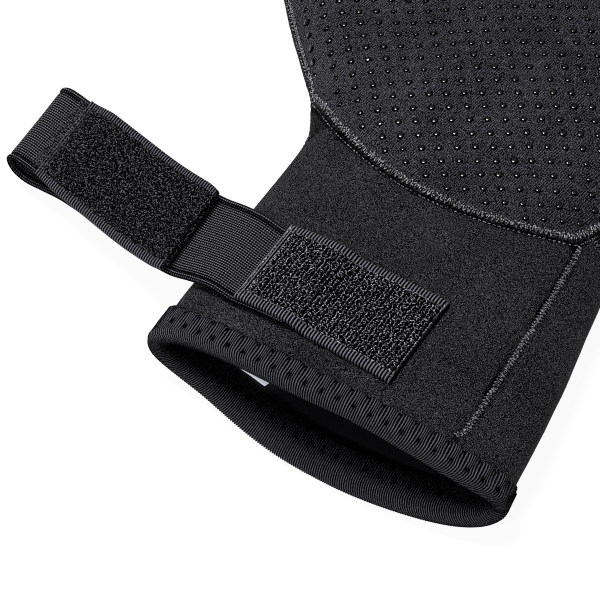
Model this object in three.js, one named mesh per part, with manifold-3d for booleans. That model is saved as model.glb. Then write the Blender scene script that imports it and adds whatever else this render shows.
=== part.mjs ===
// A left-hand neoprene diving glove lying palm side up, in millimetres, +Z up.
// +Y runs from the cuff's mouth to the fingertips and -X is the thumb side.
// The hand and sleeve are hollow tubes joined and hollowed by booleans, then parted along the seams.
import * as THREE from 'three';
import { mergeVertices } from 'three/addons/utils/BufferGeometryUtils.js';
import Module from 'manifold-3d';

// Driving dimensions
const WALL = 3;                 // neoprene thickness
const GAP = 0.3;                // clear gap between pieces
const TAPE = 1;                 // knit binding tape thickness
const WRIST_Y = 70.5;           // wrist seam, from the mouth
const TONGUE = { x: 2.5, y: 61.8, left: 0.0062, right: 0.0049, power: 2.1 };  // palm tongue's U seam
const TONGUE_LEFT_X = -37.5;    // where the U seam meets the palm's thumb-side border
const TONGUE_RIGHT_X = 32;      // where it meets the palm's little-finger-side border
const TONGUE_STEPS = 24;
// The palm's border in plan beyond the U seam's ends. Its far corners lie clear of the glove.
const THUMB_BORDER = [{ x: -140, y: 92 }, { x: -60, y: 92 }, { x: -47.5, y: 84 }];
const LITTLE_BORDER = [{ x: 52, y: 108 }, { x: 90, y: 114 }];
const BEYOND_TIPS_Y = 260;
const ABOVE_ALL_Z = 60;
const SIDE_SEAM = { height: 12, drop: 2.5, y: 60, length: 190 };  // it comes down towards the fingertips
const STRAP_WIDTH = 25;
const ELASTIC = 1.2;            // elastic thickness
const LOOP_WIDTH = 26.4;
const LOOP_TAPE = 2;            // loop tape with its nap
const HOOK = { x: -8.2, y: 22.6, length: 43.6, width: 25.4, turn: -5.6, thick: 1.8 };
const HOOK_SLOPE = 7;           // length over which the hook patch comes down off the elastic
const HOOK_STEPS = [16, 5];     // grid of the patch along its length and width
const STRAP_UNDER_HOOK = 14;    // length of elastic sewn under the hook patch
const LABEL = { x: -26.5, y: 12.5, length: 19, width: 11, turn: -14, thick: 0.6 };
const LABEL_STEPS = [8, 5];

const BODY_SIDES = 48;
const FINGER_SIDES = 14;
const THUMB_SIDES = 20;

// Sleeve and palm sections: centre x, half width, lowest and highest z, roundness above and below
// (2 is an ellipse, more is squarer).
const BODY = [
  { y: -14, centre: 0.2, half: 47.6, low: 1.2, high: 23.4, above: 2.5, below: 2.2 },
  { y: 0, centre: 0.2, half: 46.6, low: 1.2, high: 23.6, above: 2.5, below: 2.2 },
  { y: 16, centre: 0.4, half: 46.0, low: 0.2, high: 24.2, above: 2.5, below: 2.3 },
  { y: 36, centre: 0.5, half: 44.5, low: -0.7, high: 24.6, above: 2.5, below: 2.4 },
  { y: 56, centre: 0.4, half: 42.9, low: -0.8, high: 24.6, above: 2.5, below: 2.4 },
  { y: 72, centre: 0.1, half: 42.2, low: -0.8, high: 24.8, above: 2.4, below: 2.4 },
  { y: 83, centre: -1.2, half: 44.3, low: -0.8, high: 25.4, above: 2.4, below: 2.4 },
  { y: 94, centre: -0.2, half: 45.0, low: -0.8, high: 26.0, above: 2.4, below: 2.4 },
  { y: 110, centre: 1.9, half: 45.6, low: -0.8, high: 26.4, above: 2.4, below: 2.4 },
  { y: 130, centre: 2.6, half: 47.0, low: -0.8, high: 25.8, above: 2.4, below: 2.4 },
  { y: 148, centre: 2.9, half: 47.0, low: -0.6, high: 24.0, above: 2.4, below: 2.4 },
  { y: 160, centre: 2.6, half: 44.6, low: 0, high: 22.0, above: 2.3, below: 2.3 },
  { y: 167, centre: 2.2, half: 40.0, low: 1.5, high: 19.5, above: 2.2, below: 2.2 },
];
const BODY_STATIONS = [0, 9, 20, 32, 46, 60, 74, 86, 98, 112, 126, 140, 151, 160, 167];
const MOUTH_FADE_Y = 42;        // how far up the sleeve the mouth's uneven edge dies out

// The mouth's edge round the sleeve: angle in degrees from the little-finger side over the palm side,
// y of the bound edge, and y of the tape's outer hem.
const MOUTH = [
  { angle: 0, edge: -5, hem: 2.5 },
  { angle: 45, edge: -6, hem: 1 },
  { angle: 90, edge: -3.3, hem: 3.4 },
  { angle: 135, edge: -0.9, hem: 7 },
  { angle: 180, edge: -1, hem: 10.5 },
  { angle: 225, edge: -2.2, hem: 8.5 },
  { angle: 270, edge: -9.5, hem: 2 },
  { angle: 315, edge: -9.3, hem: 1 },
  { angle: 360, edge: -5, hem: 2.5 },
];
const INNER_HEM = 10;           // width of the tape inside the mouth
const EDGE_CLEAR = 2.4;         // from the bound edge to the neoprene's own edge
const LIE_GAP = 0.5;            // clear gap over and under the elastic where it is sewn down
const EDGE_GAP = 0.9;           // space left for that edge inside the tape's fold

// Fingers and thumb: rows along each, centre x and y, half width, lowest and highest z. The first rows
// lie inside the palm, so that each comes out of it gradually.
const DIGITS = {
  index: [
    { x: -30.0, y: 136, half: 8.5, low: 6.5, high: 18 },
    { x: -31.8, y: 152, half: 11.0, low: 2.5, high: 20.5 },
    { x: -33.0, y: 168, half: 11.9, low: -0.5, high: 20.4 },
    { x: -35.6, y: 200, half: 11.3, low: -0.5, high: 19 },
    { x: -38.4, y: 225, half: 10.3, low: -0.5, high: 17.6 },
  ],
  middle: [
    { x: -8.6, y: 138, half: 9.5, low: 3, high: 20 },
    { x: -9.0, y: 154, half: 11.6, low: 0.5, high: 21.6 },
    { x: -9.3, y: 170, half: 12.1, low: -0.5, high: 21 },
    { x: -10.1, y: 206, half: 11.5, low: -0.5, high: 19.4 },
    { x: -10.7, y: 235, half: 10.4, low: -0.5, high: 18 },
  ],
  ring: [
    { x: 13.9, y: 136, half: 9.5, low: 3, high: 20 },
    { x: 14.5, y: 152, half: 11.2, low: 0.5, high: 21.4 },
    { x: 15.3, y: 168, half: 11.8, low: -0.5, high: 20.6 },
    { x: 17.4, y: 201, half: 11.1, low: -0.5, high: 19 },
    { x: 19.6, y: 227, half: 10.1, low: -0.5, high: 17.6 },
  ],
  little: [
    { x: 34.4, y: 130, half: 8, low: 6.5, high: 17.5 },
    { x: 36.8, y: 146, half: 10.2, low: 2.5, high: 19.6 },
    { x: 38.6, y: 161, half: 10.8, low: -0.5, high: 19 },
    { x: 42.4, y: 186, half: 10.1, low: -0.5, high: 17.4 },
    { x: 45.6, y: 205, half: 9.3, low: -0.5, high: 16.4 },
  ],
  thumb: [
    { x: -23.0, y: 82.0, half: 13.0, low: 2, high: 23 },
    { x: -36.2, y: 100.2, half: 17.8, low: -0.5, high: 23.6 },
    { x: -45.2, y: 111.2, half: 18.6, low: -0.5, high: 23.4 },
    { x: -55.0, y: 121.4, half: 17.2, low: -0.5, high: 22.8 },
    { x: -64.2, y: 131.0, half: 15.0, low: -0.5, high: 21.8 },
    { x: -71.6, y: 142.0, half: 13.4, low: -0.5, high: 20.6 },
    { x: -77.2, y: 153.4, half: 12.5, low: -0.5, high: 19.4 },
    { x: -81.0, y: 163.4, half: 11.6, low: -0.5, high: 18.4 },
  ],
};
const DIGIT_ROUND = 2.3;
const TIP_STEPS = [0.45, 0.78, 0.96];  // how far round the tip's dome each cap ring lies, 1 is the end

// The strap's path: centre of the elastic, from under the hook patch out to the fold and back.
const STRAP = [
  { x: -37, y: 26.4, z: 23.2, bank: 0.03 },
  { x: -43, y: 28.1, z: 20.9, bank: 0.08 },
  { x: -50.4, y: 29.8, z: 17.9, bank: 0.13 },
  { x: -64, y: 33.7, z: 14.9, bank: 0.13 },
  { x: -77.4, y: 38.7, z: 12.9, bank: 0.12 },
  { x: -87, y: 41.8, z: 11.4, bank: 0.12 },
  { x: -94, y: 43.8, z: 9.2, bank: 0.11 },
  { x: -100.0, y: 45.7, z: 7.1, bank: 0.11 },
  { x: -104.0, y: 46.9, z: 7.5, bank: 0.11 },
  { x: -105.6, y: 47.4, z: 10.0, bank: 0.11 },
  { x: -103.7, y: 46.8, z: 12.4, bank: 0.11 },
  { x: -99.0, y: 45.3, z: 13.5, bank: 0.11 },
  { x: -91, y: 42.7, z: 13.8, bank: 0.12 },
  { x: -77.4, y: 38.0, z: 14.9, bank: 0.12 },
  { x: -64, y: 33.0, z: 16.9, bank: 0.13 },
  { x: -50.4, y: 28.5, z: 19.8, bank: 0.13 },
];
const STRAP_STEPS = 44;
const ACROSS_X = 0.09;          // how far the strap's cut ends lean towards the little-finger side
const LOOP_START_X = -95.5;     // where the loop tape begins, from the fold

const wasm = await Module();
wasm.setup();

function toSolid(geometry) {
  const bare = geometry.clone();
  bare.deleteAttribute('normal');
  bare.deleteAttribute('uv');
  const merged = mergeVertices(bare, 1e-4);
  return new wasm.Manifold(new wasm.Mesh({
    numProp: 3,
    vertProperties: new Float32Array(merged.attributes.position.array),
    triVerts: new Uint32Array(merged.index.array),
  }));
}

function toGeometry(solid) {
  const mesh = solid.getMesh();
  const geometry = new THREE.BufferGeometry();
  geometry.setAttribute('position', new THREE.BufferAttribute(new Float32Array(mesh.vertProperties), 3));
  geometry.setIndex(new THREE.BufferAttribute(new Uint32Array(mesh.triVerts), 1));
  geometry.computeVertexNormals();
  return geometry;
}

// Smooth value of one column at a place along a table, by cubic pieces through its rows.
function column(table, key, name, at) {
  let row = 0;
  while (row < table.length - 2 && at > table[row + 1][key]) row += 1;
  const before = table[Math.max(row - 1, 0)];
  const [start, end] = [table[row], table[row + 1]];
  const after = table[Math.min(row + 2, table.length - 1)];
  const span = end[key] - start[key];
  const t = Math.min(Math.max((at - start[key]) / span, 0), 1);
  const slopeStart = (end[name] - before[name]) / (end[key] - before[key]) * span;
  const slopeEnd = (after[name] - start[name]) / (after[key] - start[key]) * span;
  return (2 * t ** 3 - 3 * t ** 2 + 1) * start[name] + (t ** 3 - 2 * t ** 2 + t) * slopeStart
    + (3 * t ** 2 - 2 * t ** 3) * end[name] + (t ** 3 - t ** 2) * slopeEnd;
}

// A closed solid from a grid of points: rings[i][j] goes round ring i, and each end ring is capped by
// a fan. A closed loop of rings, such as a tape round a mouth, has no caps.
function loft(rings, closed = false) {
  const around = rings[0].length;
  const points = rings.flat();
  const faces = [];
  const steps = closed ? rings.length : rings.length - 1;
  for (let i = 0; i < steps; i += 1) {
    for (let j = 0; j < around; j += 1) {
      const a = i * around + j;
      const b = i * around + (j + 1) % around;
      const c = ((i + 1) % rings.length) * around + j;
      const d = ((i + 1) % rings.length) * around + (j + 1) % around;
      faces.push(a, b, d, a, d, c);
    }
  }
  if (!closed) {
    for (const end of [0, rings.length - 1]) {
      const middle = new THREE.Vector3();
      rings[end].forEach((point) => middle.addScaledVector(point, 1 / around));
      points.push(middle);
      for (let j = 0; j < around; j += 1) {
        const a = end * around + j;
        const b = end * around + (j + 1) % around;
        faces.push(points.length - 1, ...(end === 0 ? [b, a] : [a, b]));
      }
    }
  }
  const geometry = new THREE.BufferGeometry();
  geometry.setAttribute('position', new THREE.BufferAttribute(
    new Float32Array(points.flatMap((point) => point.toArray())), 3));
  geometry.setIndex(faces);
  return facingOut(geometry);
}

// Turns a closed mesh right side out: its signed volume is made positive.
function facingOut(geometry) {
  const at = geometry.attributes.position;
  const index = geometry.index.array;
  const [a, b, c] = [new THREE.Vector3(), new THREE.Vector3(), new THREE.Vector3()];
  let volume = 0;
  for (let i = 0; i < index.length; i += 3) {
    a.fromBufferAttribute(at, index[i]);
    b.fromBufferAttribute(at, index[i + 1]);
    c.fromBufferAttribute(at, index[i + 2]);
    volume += a.dot(b.cross(c));
  }
  if (volume < 0) {
    for (let i = 0; i < index.length; i += 3) [index[i], index[i + 1]] = [index[i + 1], index[i]];
  }
  return geometry;
}

const signedPower = (value, power) => Math.sign(value) * Math.abs(value) ** power;

// A point of the sleeve and palm: y along the glove, angle round it, inset under the outer surface.
// The underside is cut flat where it rests.
function bodyPoint(y, angle, inset) {
  const value = (name) => column(BODY, 'y', name, y);
  const [low, high] = [value('low'), value('high')];
  const power = 2 / (Math.sin(angle) > 0 ? value('above') : value('below'));
  const x = value('centre') + (value('half') - inset) * signedPower(Math.cos(angle), power);
  const z = (low + high) / 2 + ((high - low) / 2 - inset) * signedPower(Math.sin(angle), power);
  return new THREE.Vector3(x, y, Math.max(z, Math.max(inset, 0)));
}

// Height of the sleeve's outer surface above a place in plan, on the palm side.
function bodyTop(x, y) {
  const value = (name) => column(BODY, 'y', name, y);
  const [low, high, above] = [value('low'), value('high'), value('above')];
  const across = Math.min(Math.abs((x - value('centre')) / value('half')), 1);
  return (low + high) / 2 + (high - low) / 2 * (1 - across ** above) ** (1 / above);
}

// Height of a face at an inset above the sleeve's underside, at a place in plan.
function bodyFloor(x, y, inset) {
  const value = (name) => column(BODY, 'y', name, y);
  const [low, high, below] = [value('low'), value('high'), value('below')];
  const across = Math.min(Math.abs((x - value('centre')) / (value('half') - inset)), 1);
  const drop = ((high - low) / 2 - inset) * (1 - across ** below) ** (1 / below);
  return Math.max((low + high) / 2 - drop, inset);
}

const turnOf = (j, count) => (j / count) * 2 * Math.PI;
const mouthAt = (angle, name) => column(MOUTH, 'angle', name, (angle * 180 / Math.PI + 360) % 360);

// The outer or inner form of the sleeve and palm. The inner form runs out through the mouth.
function bodyForm(inset) {
  const stations = BODY_STATIONS.map((y) => ({ y, start: y }));
  const last = stations[stations.length - 1];
  last.y -= inset;
  if (inset > 0) stations.unshift({ y: BODY[0].y, start: BODY[0].y });
  return loft(stations.map(({ y, start }) => {
    const fade = start < 0 ? 0 : Math.max(1 - start / MOUTH_FADE_Y, 0) ** 2;
    return Array.from({ length: BODY_SIDES }, (_, j) => {
      const angle = turnOf(j, BODY_SIDES);
      return bodyPoint(y + fade * (mouthAt(angle, 'edge') + EDGE_CLEAR), angle, inset);
    });
  }));
}

// One finger or the thumb: sections across a curved line, closed by a domed tip.
function digitForm(rows, sides, inset) {
  const line = new THREE.CatmullRomCurve3(rows.map((row) => new THREE.Vector3(row.x, row.y, 0)));
  const spans = rows.length - 1;
  const steps = spans + 2;
  const sections = [];
  for (let i = 0; i <= steps; i += 1) sections.push({ t: i / steps, shrink: 1, ahead: 0 });
  const tipHalf = rows[spans].half - inset;
  for (const turn of TIP_STEPS) {
    const angle = turn * Math.PI / 2;
    sections.push({ t: 1, shrink: Math.cos(angle), ahead: tipHalf * Math.sin(angle) });
  }
  const table = rows.map((row, i) => ({ ...row, t: i / spans }));
  return loft(sections.map(({ t, shrink, ahead }) => {
    const centre = line.getPoint(t);
    const along = line.getTangent(t);
    centre.addScaledVector(along, ahead);
    const side = new THREE.Vector3(along.y, -along.x, 0);
    const half = (column(table, 't', 'half', t) - inset) * shrink;
    const high = column(table, 't', 'high', t);
    const low = column(table, 't', 'low', t);
    const middle = (high + low) / 2;
    const rise = ((high - low) / 2 - inset) * shrink;
    return Array.from({ length: sides }, (_, j) => {
      const angle = turnOf(j + 0.5, sides);
      const point = centre.clone();
      point.addScaledVector(side, half * signedPower(Math.cos(angle), 2 / DIGIT_ROUND));
      const z = middle + rise * signedPower(Math.sin(angle), 2 / DIGIT_ROUND);
      point.z = Math.max(z, inset);
      return point;
    });
  }));
}

function handForm(inset) {
  let form = toSolid(bodyForm(inset));
  for (const [name, rows] of Object.entries(DIGITS)) {
    form = form.add(toSolid(digitForm(rows, name === 'thumb' ? THUMB_SIDES : FINGER_SIDES, inset)));
  }
  return form;
}

const tongueY = (x) => TONGUE.y
  + (x < TONGUE.x ? TONGUE.left : TONGUE.right) * Math.abs(x - TONGUE.x) ** TONGUE.power;
const seamHeight = (y) => SIDE_SEAM.height - SIDE_SEAM.drop * (y - SIDE_SEAM.y) / SIDE_SEAM.length;

// The space that the palm panel takes: a plan outline from the side seams up, grown by a margin.
function palmSpace(margin) {
  const outline = new THREE.Shape();
  outline.moveTo(THUMB_BORDER[0].x, BEYOND_TIPS_Y);
  for (const { x, y } of THUMB_BORDER) outline.lineTo(x, y - margin);
  for (let i = 0; i <= TONGUE_STEPS; i += 1) {
    const x = TONGUE_LEFT_X + (TONGUE_RIGHT_X - TONGUE_LEFT_X) * i / TONGUE_STEPS;
    outline.lineTo(x + (i === TONGUE_STEPS ? margin : 0), tongueY(x) - margin);
  }
  for (const { x, y } of LITTLE_BORDER) outline.lineTo(x + margin, y);
  outline.lineTo(LITTLE_BORDER[1].x + margin, BEYOND_TIPS_Y);
  const space = new THREE.ExtrudeGeometry(outline, { depth: ABOVE_ALL_Z, bevelEnabled: false });
  const at = space.attributes.position;
  for (let i = 0; i < at.count; i += 1) {
    if (at.getZ(i) < ABOVE_ALL_Z / 2) at.setZ(i, seamHeight(at.getY(i)) - margin);
  }
  return toSolid(space);
}

// Knit tape folded over the sleeve's edge: a U section carried round the mouth.
function bindingForm() {
  const bend = WALL / 2 + GAP + TAPE;
  const rings = Array.from({ length: BODY_SIDES }, (_, j) => {
    const angle = turnOf(j, BODY_SIDES);
    const edge = mouthAt(angle, 'edge');
    const hem = mouthAt(angle, 'hem');
    const innerHem = edge + INNER_HEM;
    const middle = WALL / 2;
    const inside = EDGE_CLEAR - EDGE_GAP;
    const section = [[-GAP - TAPE, hem], [-GAP - TAPE, (hem + edge + bend) / 2]];
    for (const turn of [0, 45, 90, 135, 180]) {
      const t = turn * Math.PI / 180;
      section.push([middle - bend * Math.cos(t), edge + bend * (1 - Math.sin(t))]);
    }
    section.push([WALL + GAP + TAPE, innerHem], [WALL + GAP, innerHem]);
    section.push([WALL + GAP, edge + inside], [-GAP, edge + inside], [-GAP, hem]);
    return section.map(([inset, y]) => bodyPoint(y, angle, inset));
  });
  return loft(rings, true);
}

// A thin sheet laid on a surface: a grid in plan turned about its centre, with lower and upper faces
// given by height functions of its own lengthways and crossways places.
function layer(place, [lengthSteps, widthSteps], lower, upper) {
  const turn = place.turn * Math.PI / 180;
  const rings = [];
  for (let i = 0; i <= lengthSteps; i += 1) {
    const u = (i / lengthSteps - 0.5) * place.length;
    const ring = [];
    const add = (j, height) => {
      const v = (j / widthSteps - 0.5) * place.width;
      const x = place.x + u * Math.cos(turn) - v * Math.sin(turn);
      const y = place.y + u * Math.sin(turn) + v * Math.cos(turn);
      ring.push(new THREE.Vector3(x, y, height(x, y, u)));
    };
    for (let j = 0; j <= widthSteps; j += 1) add(j, lower);
    for (let j = widthSteps; j >= 0; j -= 1) add(j, upper);
    rings.push(ring);
  }
  return loftStrip(rings);
}

// Like loft, for thin flat sections whose ends close as a row of narrow quads.
function loftStrip(rings) {
  const around = rings[0].length;
  const points = rings.flat();
  const faces = [];
  for (let i = 0; i < rings.length - 1; i += 1) {
    for (let j = 0; j < around; j += 1) {
      const [a, b] = [i * around + j, i * around + (j + 1) % around];
      faces.push(a, b, b + around, a, b + around, a + around);
    }
  }
  for (const end of [0, rings.length - 1]) {
    for (let j = 0; j < around / 2 - 1; j += 1) {
      const [a, b] = [end * around + j, end * around + j + 1];
      const [c, d] = [end * around + around - 2 - j, end * around + around - 1 - j];
      faces.push(...(end === 0 ? [a, c, b, a, d, c] : [a, b, c, a, c, d]));
    }
  }
  const geometry = new THREE.BufferGeometry();
  geometry.setAttribute('position', new THREE.BufferAttribute(
    new Float32Array(points.flatMap((point) => point.toArray())), 3));
  geometry.setIndex(faces);
  return facingOut(geometry);
}

// The hook patch rests on the sleeve, and its thumb-side end is lifted by the elastic under it.
function hookLift(u) {
  const underEnd = -HOOK.length / 2 + STRAP_UNDER_HOOK;
  const t = Math.min(Math.max((underEnd + HOOK_SLOPE - u) / HOOK_SLOPE, 0), 1);
  return GAP + (ELASTIC + 2 * LIE_GAP - GAP) * t * t * (3 - 2 * t);
}

function hookForm() {
  const lower = (x, y, u) => bodyTop(x, y) + hookLift(u);
  return layer(HOOK, HOOK_STEPS, lower, (x, y, u) => lower(x, y, u) + HOOK.thick);
}

// The label lies on the tape's inner hem.
function labelForm() {
  const lower = (x, y) => bodyFloor(x, y, WALL + 2 * GAP + TAPE);
  return layer(LABEL, LABEL_STEPS, lower, (x, y) => lower(x, y) + LABEL.thick);
}

// The strap's path as evenly spaced steps, each with its centre, its direction across and its normal.
function strapPath() {
  const turn = HOOK.turn * Math.PI / 180;
  const sewn = [STRAP_UNDER_HOOK, STRAP_UNDER_HOOK / 2, 0].map((inwards) => {
    const u = inwards - HOOK.length / 2;
    const x = HOOK.x + u * Math.cos(turn);
    const y = HOOK.y + u * Math.sin(turn);
    return { x, y, z: bodyTop(x, y) + LIE_GAP + ELASTIC / 2, bank: 0 };
  });
  const rows = [...sewn, ...STRAP];
  const line = new THREE.CatmullRomCurve3(rows.map((row) => new THREE.Vector3(row.x, row.y, row.z)),
    false, 'centripetal');
  return Array.from({ length: STRAP_STEPS + 1 }, (_, i) => {
    const t = i / STRAP_STEPS;
    const place = t * (rows.length - 1);
    const row = Math.min(Math.floor(place), rows.length - 2);
    const bank = THREE.MathUtils.lerp(rows[row].bank, rows[row + 1].bank, place - row);
    const centre = line.getPoint(t);
    const along = line.getTangent(t);
    const across = new THREE.Vector3(ACROSS_X, 1, bank).normalize();
    const normal = new THREE.Vector3().crossVectors(across, along).normalize();
    return { centre, across, normal };
  });
}

// A ribbon along steps of a path, between two offsets along the path's normal.
function ribbon(steps, width, lower, upper) {
  return loftStrip(steps.map(({ centre, across, normal }) => {
    const corner = (side, offset) => centre.clone()
      .addScaledVector(across, side * width / 2).addScaledVector(normal, offset);
    return [corner(-1, lower), corner(1, lower), corner(1, upper), corner(-1, upper)];
  }));
}

function strapForm() {
  return ribbon(strapPath(), STRAP_WIDTH, -ELASTIC / 2, ELASTIC / 2);
}

// The loop tape lies on the outer face of the strap's returning run, past the fold.
function loopForm() {
  const steps = strapPath();
  const foldX = Math.min(...steps.map(({ centre }) => centre.x));
  const returning = steps.slice(steps.findIndex(({ centre }) => centre.x === foldX))
    .filter(({ centre }) => centre.x > LOOP_START_X);
  const outward = Math.sign(returning[0].normal.z);
  const near = outward * (ELASTIC / 2 + GAP);
  const far = outward * (ELASTIC / 2 + GAP + LOOP_TAPE);
  return ribbon(returning, LOOP_WIDTH, Math.min(near, far), Math.max(near, far));
}

const shell = handForm(0).subtract(handForm(WALL));
const half = GAP / 2;
const outsidePalm = shell.subtract(palmSpace(half));

const neoprene = { color: 0x232226, roughness: 0.92, metalness: 0 };
const pieces = {
  cuff: [toGeometry(outsidePalm.trimByPlane([0, -1, 0], half - WRIST_Y)), neoprene],
  back_panel: [toGeometry(outsidePalm.trimByPlane([0, 1, 0], WRIST_Y + half)), neoprene],
  palm_panel: [toGeometry(shell.intersect(palmSpace(-half))), { color: 0x29282c, roughness: 0.9, metalness: 0 }],
  cuff_binding: [bindingForm(), { color: 0x252427, roughness: 0.85, metalness: 0 }],
  hook_patch: [hookForm(), { color: 0x262629, roughness: 0.6, metalness: 0 }],
  strap: [strapForm(), { color: 0x323135, roughness: 0.8, metalness: 0 }],
  loop_patch: [loopForm(), { color: 0x1c1c1f, roughness: 1, metalness: 0 }],
  care_label: [labelForm(), { color: 0xe9e9ec, roughness: 0.7, metalness: 0 }],
};

const glove = new THREE.Group();
for (const [name, [geometry, finish]] of Object.entries(pieces)) {
  const piece = new THREE.Mesh(geometry, new THREE.MeshStandardMaterial(finish));
  piece.name = name;
  glove.add(piece);
}

// The origin is the middle of the glove's box, on the surface that it lies on.
const box = new THREE.Box3().setFromObject(glove);
glove.position.set(-(box.min.x + box.max.x) / 2, -(box.min.y + box.max.y) / 2, -box.min.z);
glove.updateMatrixWorld(true);

export default glove;
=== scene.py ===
import math

import bpy
import numpy as np
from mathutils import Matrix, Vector


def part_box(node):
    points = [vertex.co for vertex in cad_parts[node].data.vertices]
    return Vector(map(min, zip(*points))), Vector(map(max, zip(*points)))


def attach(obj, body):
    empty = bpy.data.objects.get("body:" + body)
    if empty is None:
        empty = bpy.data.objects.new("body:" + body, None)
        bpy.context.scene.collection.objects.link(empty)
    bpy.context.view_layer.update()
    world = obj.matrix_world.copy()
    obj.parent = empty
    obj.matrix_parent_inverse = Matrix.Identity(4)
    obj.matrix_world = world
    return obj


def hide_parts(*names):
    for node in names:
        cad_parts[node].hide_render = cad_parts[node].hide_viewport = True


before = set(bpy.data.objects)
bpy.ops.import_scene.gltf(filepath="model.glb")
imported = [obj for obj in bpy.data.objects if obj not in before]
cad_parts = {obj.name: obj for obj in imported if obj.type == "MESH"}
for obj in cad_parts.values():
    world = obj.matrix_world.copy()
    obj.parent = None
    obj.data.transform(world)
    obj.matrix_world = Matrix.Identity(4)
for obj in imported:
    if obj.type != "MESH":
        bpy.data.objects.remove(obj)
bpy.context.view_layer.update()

MM = 0.001
HOOK_X, HOOK_Y = -8.2, 22.6
_lo, _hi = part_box("hook_patch")
SHIFT = np.array([(_lo[0] + _hi[0]) / 2 / MM - HOOK_X, (_lo[1] + _hi[1]) / 2 / MM - HOOK_Y, 0.0])
rng = np.random.default_rng(7)

WALL = 3.0
GAP = 0.3
TAPE = 1.0
EDGE_CLEAR = 2.4
WRIST_Y = 70.5
WRIST_RISE, WRIST_RISE_X = 4.2, -36.8    # how far and where the wrist's seam is drawn up
RIB = 0.62                     # spacing of the binding knit's ribs
HOOK_RIB, LOOP_RIB = 0.82, 0.8           # spacing of the ribs in the two tapes' selvedges
STEP = 1.0                     # spacing of the grid that the neoprene is shaped on
PRESSED = 0.02                 # share left of what would hang below the table
BLEND = 1.2                    # how softly palm and fingers run into each other

# Sleeve and palm: y, centre x, half width, lowest z, highest z, roundness above, roundness below
BODY = np.array([
    (-14, 0.2, 47.6, 1.2, 23.4, 2.5, 2.2), (0, 0.2, 46.6, 1.2, 23.6, 2.5, 2.2),
    (16, 0.4, 46.0, 0.2, 24.2, 2.5, 2.3), (36, 0.5, 44.5, -0.7, 24.6, 2.5, 2.4),
    (56, 0.4, 42.9, -0.8, 24.6, 2.5, 2.4), (72, 0.1, 42.2, -0.8, 24.8, 2.4, 2.4),
    (83, -1.2, 44.3, -0.8, 25.4, 2.4, 2.4), (94, -0.2, 45.0, -0.8, 26.0, 2.4, 2.4),
    (110, 1.9, 45.6, -0.8, 26.4, 2.4, 2.4), (130, 2.6, 47.0, -0.8, 25.8, 2.4, 2.4),
    (148, 2.9, 47.0, -0.6, 24.0, 2.4, 2.4), (160, 2.6, 44.6, 0.0, 22.0, 2.3, 2.3),
    (167, 2.2, 40.0, 1.5, 19.5, 2.2, 2.2)])
BODY_END = 155.0               # from here on the palm rounds off between the fingers

# The mouth: angle in degrees from the little-finger side over the palm side, y of the bound edge, y of
# the tape's outer hem
MOUTH = np.array([
    (0, -5, 2.5), (45, -6, 1), (90, -3.3, 3.4), (135, -0.9, 7), (180, -1, 10.5), (225, -2.2, 8.5),
    (270, -9.5, 2), (315, -9.3, 1), (360, -5, 2.5)])

# Fingers and thumb: x, y, half width, lowest z, highest z along each
DIGITS = {
    "index": [(-30, 136, 8.5, 6.5, 18), (-31.8, 152, 11, 2.5, 20.5), (-33, 168, 11.9, -0.5, 20.4),
              (-35.6, 200, 11.3, -0.5, 19), (-38.4, 225, 10.3, -0.5, 17.6)],
    "middle": [(-8.6, 138, 9.5, 3, 20), (-9, 154, 11.6, 0.5, 21.6), (-9.3, 170, 12.1, -0.5, 21),
               (-10.1, 206, 11.5, -0.5, 19.4), (-10.7, 235, 10.4, -0.5, 18)],
    "ring": [(13.9, 136, 9.5, 3, 20), (14.5, 152, 11.2, 0.5, 21.4), (15.3, 168, 11.8, -0.5, 20.6),
             (17.4, 201, 11.1, -0.5, 19), (19.6, 227, 10.1, -0.5, 17.6)],
    "little": [(34.4, 130, 8, 6.5, 17.5), (36.8, 146, 10.2, 2.5, 19.6), (38.6, 161, 10.8, -0.5, 19),
               (42.4, 186, 10.1, -0.5, 17.4), (45.6, 205, 9.3, -0.5, 16.4)],
    "thumb": [(-23, 82, 13, 2, 23), (-36.2, 100.2, 17.8, -0.5, 23.6), (-45.2, 111.2, 18.6, -0.5, 23.4),
              (-55, 121.4, 17.2, -0.5, 22.8), (-64.2, 131, 15, -0.5, 21.8),
              (-71.6, 142, 13.4, -0.5, 20.6), (-77.2, 153.4, 12.5, -0.5, 19.4),
              (-81, 163.4, 11.6, -0.5, 18.4)]}
DIGIT_ROUND = 2.3


# Shape helpers
def unit(vectors):
    """The vectors over their own lengths."""
    return vectors / np.linalg.norm(vectors, axis=-1)[..., None]


def hump(distance, width):
    """A smooth bump: e to the minus square of the distance as a share of the width."""
    return np.exp(-(distance / width) ** 2)


def ease(t):
    """A soft step from 0 to 1: t squared times three less twice t."""
    return t * t * (3 - 2 * t)


def run_along(path):
    """The length along a path up to each of its points."""
    return np.concatenate([[0], np.cumsum(np.linalg.norm(np.diff(path, axis=0), axis=1))])


def cubic(table, at):
    """Smooth values of a table's other columns at places along its first one: cubic pieces through the
    rows, each row's slope being that between its neighbours."""
    key, values = table[:, 0], table[:, 1:]
    at = np.asarray(at, float)
    row = np.clip(np.searchsorted(key, at, side="left") - 1, 0, len(key) - 2)
    before, after = np.maximum(row - 1, 0), np.minimum(row + 2, len(key) - 1)
    span = key[row + 1] - key[row]
    t = np.clip((at - key[row]) / span, 0, 1)[..., None]
    first = (values[row + 1] - values[before]) * (span / (key[row + 1] - key[before]))[..., None]
    last = (values[after] - values[row]) * (span / (key[after] - key[row]))[..., None]
    return ((2 * t ** 3 - 3 * t ** 2 + 1) * values[row] + (t ** 3 - 2 * t ** 2 + t) * first
            + (3 * t ** 2 - 2 * t ** 3) * values[row + 1] + (t ** 3 - t ** 2) * last)


def columns(table, at):
    """The table's smooth values at those places, one array for each column."""
    return np.moveaxis(cubic(table, at), -1, 0)


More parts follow.
